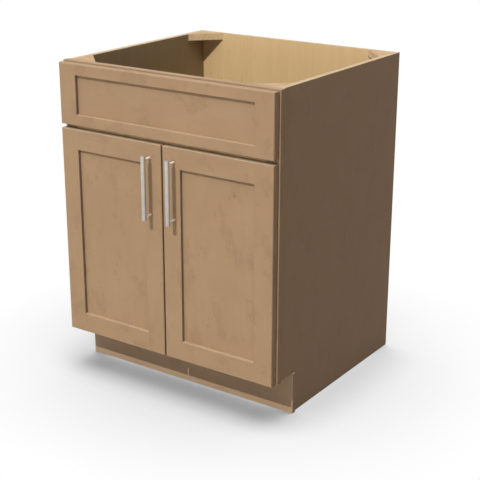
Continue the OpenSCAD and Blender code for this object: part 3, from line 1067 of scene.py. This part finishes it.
@dataclass
class CornerBraces:
    """The four triangular blocks at the top corners, with their screws."""

    edge: float = 0.0008

    def build(self) -> None:
        """Makes the blocks and the screws."""
        # The blocks' edges take the paler sawn wood: painted light.
        materials = [finish.material(Grain.ACROSS) for finish in (SAWN, SAWN_PAINTED_LIGHT)]
        for node in (f"{place}_{side.word}_brace" for place in ("front", "back") for side in Side):
            Piece(node, materials, broad_faces(Grain.UPRIGHT)).finish(carved(node, self.edge))
        ScrewSet("brace_screws").build()


@dataclass
class FramedFront:
    """Five-piece front: two stiles and two rails round a flat panel.

    The joint is the easing of the glued joints, the arris the chamfer of the stiles' ends, and the
    sticking the depth of the chamfer round the panel.
    """

    stiles: tuple[str, str]
    rails: tuple[str, str]
    panel: str
    panel_grain: Grain = Grain.UPRIGHT
    # Finish of the stiles' and top rail's faces that look up: a paler stain, as painted highlight.
    crown: Finish = PAINTED_TOP_HIGHLIGHT
    joint: float = 0.00015
    arris: float = 0.0015
    sticking: float = 0.00075

    def build(self) -> None:
        """Makes the five pieces."""
        for node in self.stiles:
            shape = carved(node, self.joint, reshape=partial(self._finish_stile, node=node))
            choose = member_faces(self._inward(node))
            Piece(node, stained(Grain.UPRIGHT, self.crown), choose).finish(shape)
        # Each rail's faces that look up get a paler stain as painted highlight.
        for node, upper in zip(self.rails, (self.crown, PAINTED_TOP_HIGHLIGHT)):
            shape = carved(node, self.joint)
            Piece(node, stained(Grain.ACROSS, upper), member_faces()).finish(shape)
        shape = block(self.panel, self.joint)
        Piece(self.panel, [STAIN.material(self.panel_grain)]).finish(shape)

    def _inward(self, node: str) -> int:
        """Direction along X from a stile to the panel."""
        return 1 if sum(v.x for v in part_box(node)) < sum(v.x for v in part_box(self.panel)) else -1

    def _finish_stile(self, shape: Shape, node: str) -> None:
        """Stops the chamfer round the panel at the rails, which keeps the joints tight.

        It also chamfers the stile's ends.

        Args:
            shape: Mesh of the stile.
            node: Name of the stile.
        """
        low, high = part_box(node)
        _, sill, head, _ = sorted(v.z for rail in self.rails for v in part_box(rail))
        inner = high.x if self._inward(node) > 0 else low.x
        for height in (sill - self.sticking, sill, head, head + self.sticking):
            bmesh.ops.bisect_plane(
                shape,
                geom=[*shape.verts, *shape.edges, *shape.faces],
                plane_co=(0, 0, height),
                plane_no=(0, 0, 1),
                dist=CUT_TOUCH,
            )
        for vert in shape.verts:
            x, y, z = vert.co
            glued = z < sill - self.sticking + TOUCH or z > head + self.sticking - TOUCH
            if glued and abs(x - inner) < TOUCH and abs(y - low.y - self.sticking) < TOUCH:
                vert.co.y = low.y
        small = 2 * self.sticking**2
        stops = [f for f in shape.faces if len(f.verts) == 4 and f.calc_area() < small]
        bmesh.ops.triangulate(shape, faces=stops, quad_method="SHORT_EDGE")
        bmesh.ops.dissolve_limit(shape, angle_limit=FLAT, verts=shape.verts, edges=shape.edges)
        front = [e for e in shape.edges if all(abs(v.co.y - low.y) < TOUCH for v in e.verts)]
        ends = [
            e
            for e in front
            if any(all(abs(v.co.z - end) < TOUCH for v in e.verts) for end in (low.z, high.z))
        ]
        ease(shape, self.arris, 1, ends)


@dataclass
class Pull:
    """Bar pull on one door: a round bar on two posts, with the screws that hold it."""

    side: Side
    segments: int = 48
    chamfer: float = 0.0009
    post_rim: float = 0.0003

    def build(self) -> None:
        """Makes the upright bar, the two posts behind it and the screws."""
        name = f"{self.side.word}_pull"
        bar, posts = f"{name}_bar", f"{name}_posts"
        low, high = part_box(bar)
        rod = self._rod(low, high, Grain.UPRIGHT, self.chamfer)
        Piece(bar, [NICKEL.material(Grain.UPRIGHT)]).finish(rod)
        whole = bmesh.new()
        for low, high, _ in islands(posts):
            join(whole, self._rod(low, high, Grain.DEEP, self.post_rim))
        # The posts are near-white and matt: painted highlight.
        Piece(posts, [POST_PAINTED_HIGHLIGHT.material(Grain.DEEP)]).finish(whole)
        ScrewSet(f"{name}_screws").build()

    def _rod(self, low: Vector, high: Vector, axis: Grain, rim: float) -> Shape:
        """Makes a round rod with eased ends.

        Args:
            low: Lowest corner of the rod's box.
            high: Highest corner of the rod's box.
            axis: Axis that it runs along: upright or deep.
            rim: Width of the eased rims.

        Returns:
            The mesh.
        """
        shape = bmesh.new()
        size = high - low
        radius = size[(axis.value + 1) % 3] / 2
        bmesh.ops.create_cone(
            shape,
            cap_ends=True,
            segments=self.segments,
            radius1=radius,
            radius2=radius,
            depth=size[axis.value],
        )
        for face in shape.faces:
            face.smooth = len(face.verts) == 4
        ease(shape, rim, 3)
        turn = Matrix.Rotation(math.pi / 2 if axis is Grain.DEEP else 0.0, 4, "X")
        matrix = Matrix.Translation((low + high) / 2) @ turn
        bmesh.ops.transform(shape, matrix=matrix, verts=shape.verts)
        return shape


@dataclass
class Hinges:
    """Concealed hinges of one door: cups, arms, pins and screws."""

    side: Side
    edge: float = 0.00025

    def build(self) -> None:
        """Makes the plated parts and the cup screws."""
        parts = [f"{place}_hinge_{part}" for place in ("upper", "lower") for part in ("arm", "cup")]
        for node in (f"{self.side.word}_{part}" for part in (*parts, "hinge_pins")):
            Piece(node, [STEEL.material()]).finish(carved(node, self.edge))
        ScrewSet(f"{self.side.word}_cup_screws").build()


@dataclass
class Fittings:
    """Brackets of the false front, their and the hinge arms' screws, and all the bumpers."""

    edge: float = 0.0004
    pad_edge: float = 0.0009

    def build(self) -> None:
        """Makes the brackets, the screws and the bumpers."""
        for node in ("left_front_bracket", "right_front_bracket"):
            Piece(node, [STEEL.material()]).finish(carved(node, self.edge))
        for node in ("bracket_screws", "hinge_arm_screws"):
            ScrewSet(node).build()
        for node in ("false_front_bumpers", "left_door_bumpers", "right_door_bumpers"):
            Piece(node, [PAD.material()]).finish(carved(node, self.pad_edge, 3))


@dataclass(frozen=True)
class FootLight:
    """Painted light and shade in the floor's tone close to the object's foot.

    The sunlit toe-kick board and the sides throw light on the floor, and the doors' lower edge and
    corners shade it. A glow or shade is a share of the tone. The rest is in metres: start and end
    of what rises or falls, and middle and width of door_ahead, corner_aside and corner_ahead.
    """

    board_front: float = -0.2002
    board_rise: Span = (-0.015, 0.005)
    board_ends: Span = (0.24, 0.35)
    board_glow: float = 1.45
    board_reach: float = 0.0195
    side_face: float = 0.343
    side_ends: Span = (0.2, 0.36)
    side_glow: float = 0.2
    side_reach: float = 0.026
    door_shade: float = 0.12
    door_ahead: Span = (0.068, 0.03)
    corner_shade: float = 0.18
    corner_aside: Span = (0.3, 0.06)
    corner_ahead: Span = (0.06, 0.045)

    def factor(self, graph: Graph) -> Link:
        """Works the change out from the place on the floor.

        Args:
            graph: The floor's node tree.

        Returns:
            The factor for the floor's tone.
        """
        split = graph.add("SeparateXYZ", None, {0: graph.point()}, "X")
        aside = abs(split)
        depth = split.sibling("Y")
        gap = self.board_front - depth
        ahead = gap.between(*self.board_rise)
        beside = (1.0 - ahead) * (1.0 - depth.between(*self.side_ends))
        before_board = ahead * (1.0 - aside.between(*self.board_ends))
        board = before_board * gap.fading(self.board_reach)
        side = beside * (aside - self.side_face).fading(self.side_reach)
        door = before_board * gap.hump(*self.door_ahead)
        corner = ahead * aside.hump(*self.corner_aside) * gap.hump(*self.corner_ahead)
        glow = (1.0 + self.board_glow * board) * (1.0 + self.side_glow * side)
        return glow * (1.0 - self.door_shade * door) * (1.0 - self.corner_shade * corner)


@dataclass
class Studio:
    """Floor, light and camera.

    Each light of the sky has its strength first and then the powers that narrow it. Angles are in
    degrees.
    """

    floor_half: float = 14.0
    floor_reach: float = 0.5
    floor_even: float = 0.45
    front_reach: float = 0.15
    floor_front: float = 0.54
    floor_lean: Triple = (0.0, 0.7071, 0.7071)
    floor_samples: int = 16
    floor_bounce: Colour = (0.36, 0.36, 0.36, 1.0)
    foot: FootLight = FootLight()
    sun_strength: float = 2.15
    sun_height: float = 45.0
    sun_width: float = 0.6
    sky_top: Span = (1.6, 8.0)
    sky_fore: Span = (1.95, 10.0)
    sky_front: Triple = (3.3, 3.0, 6.0)
    sky_back: Triple = (1.6, 5.0, 2.0)
    fore_tilt: float = 20.0
    camera_place: Triple = (1.7560, -2.4970, 1.4250)
    camera_azimuth: float = 34.556
    camera_height: float = 19.261
    camera_roll: float = 0.127
    camera_reach: float = 100.0
    focal_pixels: float = 1144.1
    picture_pixels: float = 480.0
    sensor_millimetres: float = 36.0

    def build(self) -> None:
        """Makes everything round the object."""
        self._floor()
        self._sun()
        self._sky()
        self._camera()

    @staticmethod
    def _seen(graph: Graph) -> Link:
        """Mask of the rays that show the background: of the camera, of gloss and of clear parts."""
        kinds = (f"Is {kind} Ray" for kind in ("Camera", "Glossy", "Transmission"))
        return sum(graph.add("LightPath", out=kind) for kind in kinds).clamped()

    def _floor(self) -> None:
        """Makes the pale floor, whose colour for the camera holds painted shade from occlusion under
        and beside the object, and the foot's painted light and shade.
        """
        shape = bmesh.new()
        bmesh.ops.create_grid(shape, x_segments=1, y_segments=1, size=self.floor_half)
        mesh = mesh_of("floor_mesh", shape)
        material = bpy.data.materials.new("pale_floor")
        graph = Graph(material)
        samples = {"samples": self.floor_samples}
        even = graph.add("AmbientOcclusion", samples, {"Distance": self.floor_reach}, "AO")
        lean = graph.add("CombineXYZ", None, dict(zip("XYZ", self.floor_lean)))
        near = {"Distance": self.front_reach, "Normal": lean}
        front = graph.add("AmbientOcclusion", samples, near, "AO")
        tone = even**self.floor_even * front**self.floor_front * self.foot.factor(graph)
        colour = graph.mix(tone, BLACK, WHITE)
        glow = graph.add("Emission", None, {"Color": colour, "Strength": 1.0})
        plain = graph.add("BsdfDiffuse", None, {"Color": self.floor_bounce})
        both = graph.add("MixShader", None, {0: self._seen(graph), 1: plain, 2: glow})
        graph.add("OutputMaterial", None, {"Surface": both})
        mesh.materials.append(material)
        put("floor", mesh)

    def _sun(self) -> None:
        """Makes the key light, which comes straight from the front."""
        data = bpy.data.lights.new("front_light", "SUN")
        data.energy = self.sun_strength
        data.angle = math.radians(self.sun_width)
        tilt = math.radians(self.sun_height)
        aim = Vector((0, -math.cos(tilt), math.sin(tilt)))
        put("front_light", data).rotation_euler = aim.to_track_quat("Z", "Y").to_euler()

    def _sky(self) -> None:
        """Makes the soft light from above and the white background."""
        world = bpy.data.worlds.new("studio")
        bpy.context.scene.world = world
        graph = Graph(world)
        place = graph.add("TexCoord", out="Generated")
        split = graph.add("SeparateXYZ", None, {0: place}, "Z")
        up = split.clamped()
        ahead = (-1.0 * split.sibling("Y")).clamped()
        behind = split.sibling("Y").clamped()
        tilt = math.radians(self.fore_tilt)
        fore = up * math.cos(tilt) + ahead * math.sin(tilt)
        steep = self._glow(self.sky_top, up) + self._glow(self.sky_fore, fore)
        front = self._glow(self.sky_front, ahead, 1.0 - up)
        level = steep + front + self._glow(self.sky_back, behind, 1.0 - up)
        soft = graph.add("Background", None, {"Color": WHITE, "Strength": level})
        white = graph.add("Background", None, {"Color": WHITE, "Strength": 1.0})
        both = graph.add("MixShader", None, {0: self._seen(graph), 1: soft, 2: white})
        graph.add("OutputWorld", None, {"Surface": both})

    @staticmethod
    def _glow(light: tuple[float, ...], *directions: Link) -> Link:
        """Works out one light of the sky.

        Args:
            light: Its strength, then the power of each direction.
            directions: How far a point of the sky lies in each direction, from 0 to 1.

        Returns:
            Its level at that point.
        """
        level, *powers = light
        for direction, power in zip(directions, powers):
            level = level * direction**power
        return level

    def _camera(self) -> None:
        """Sets the camera where the photograph was taken from."""
        angles = (self.camera_azimuth, self.camera_height, self.camera_roll)
        azimuth, height, roll = map(math.radians, angles)
        right = Vector((math.cos(azimuth), math.sin(azimuth), 0.0))
        level, rise = math.cos(height), math.sin(height)
        back = Vector((math.sin(azimuth) * level, -math.cos(azimuth) * level, rise))
        turn = Matrix((right, back.cross(right), back)).transposed().to_4x4()
        turn = turn @ Matrix.Rotation(roll, 4, "Z")
        data = bpy.data.cameras.new("camera")
        data.sensor_width = self.sensor_millimetres
        data.lens = self.focal_pixels / self.picture_pixels * self.sensor_millimetres
        data.clip_end = self.camera_reach
        camera = put("camera", data)
        camera.matrix_world = Matrix.Translation(self.camera_place) @ turn
        bpy.context.scene.camera = camera


def main() -> None:
    """Builds the sub-assemblies in order, then the studio round them."""
    logging.basicConfig(level=logging.INFO, format="%(name)s: %(message)s")
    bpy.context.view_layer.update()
    parts: list[Assembly] = [
        Carcass(),
        FaceFrame(),
        CornerBraces(),
        FramedFront(
            ("false_front_left_stile", "false_front_right_stile"),
            ("false_front_top_rail", "false_front_bottom_rail"),
            "false_front_panel",
            Grain.ACROSS,
            PAINTED_FRAME_TOP_HIGHLIGHT,
        ),
        Fittings(),
    ]
    for side in Side:
        word = side.word
        parts += [
            FramedFront(
                (f"{word}_door_hinge_stile", f"{word}_door_meeting_stile"),
                (f"{word}_door_top_rail", f"{word}_door_bottom_rail"),
                f"{word}_door_panel",
            ),
            Pull(side),
            Hinges(side),
        ]
    for part in parts:
        part.build()
        LOG.info("%s finished", type(part).__name__)
    Studio().build()
    bpy.context.scene.view_settings.view_transform = "Standard"


if __name__ == "__main__":
    main()
